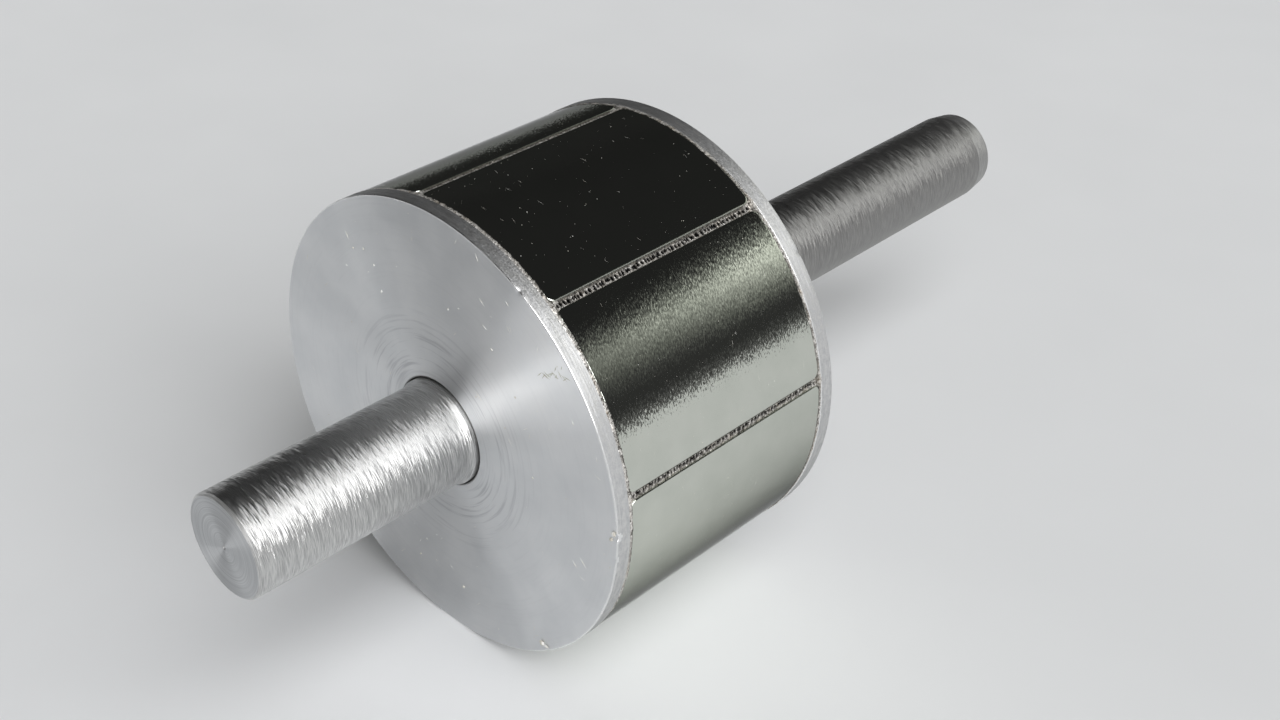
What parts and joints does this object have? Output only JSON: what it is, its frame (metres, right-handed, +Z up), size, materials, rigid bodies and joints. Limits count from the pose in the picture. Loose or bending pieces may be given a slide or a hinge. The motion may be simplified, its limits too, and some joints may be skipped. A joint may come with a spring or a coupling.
{
  "type": "permanent magnet rotor",
  "caption": "Cylindrical surface-magnet rotor: arc magnets bonded round a core between aluminium end discs on a plain round shaft, to spin inside a generator or motor stator.",
  "frame": {"origin": "on the spin axis at the middle of the drum's length", "axes": "+Y along the shaft towards its long end, +Z up as the rotor lies on its rims"},
  "size_m": [0.0544, 0.126, 0.0544],
  "materials": {
    "shaft_steel": "hand-polished round the shaft, bright with fine ragged streaks",
    "core_steel": "turned, hidden under the magnets",
    "plate_aluminium": "faced and turned on a lathe, concentric tool marks",
    "magnet_nickel": "bright nickel plate with slight orange peel",
    "epoxy": "grainy cured adhesive with small bubbles"
  },
  "bodies": {
    "root": {"shaft": "shaft_steel", "rotor_core": "core_steel", "front_end_plate": "plate_aluminium", "rear_end_plate": "plate_aluminium", "magnet_1": "magnet_nickel", "magnet_2": "magnet_nickel", "magnet_3": "magnet_nickel", "magnet_4": "magnet_nickel", "magnet_5": "magnet_nickel", "magnet_6": "magnet_nickel", "magnet_7": "magnet_nickel", "magnet_8": "magnet_nickel", "epoxy_seam_1": "epoxy", "epoxy_seam_2": "epoxy", "epoxy_seam_3": "epoxy", "epoxy_seam_4": "epoxy", "epoxy_seam_5": "epoxy", "epoxy_seam_6": "epoxy", "epoxy_seam_7": "epoxy", "epoxy_seam_8": "epoxy", "front_epoxy_bead": "epoxy", "rear_epoxy_bead": "epoxy"}
  },
  "joints": []
}
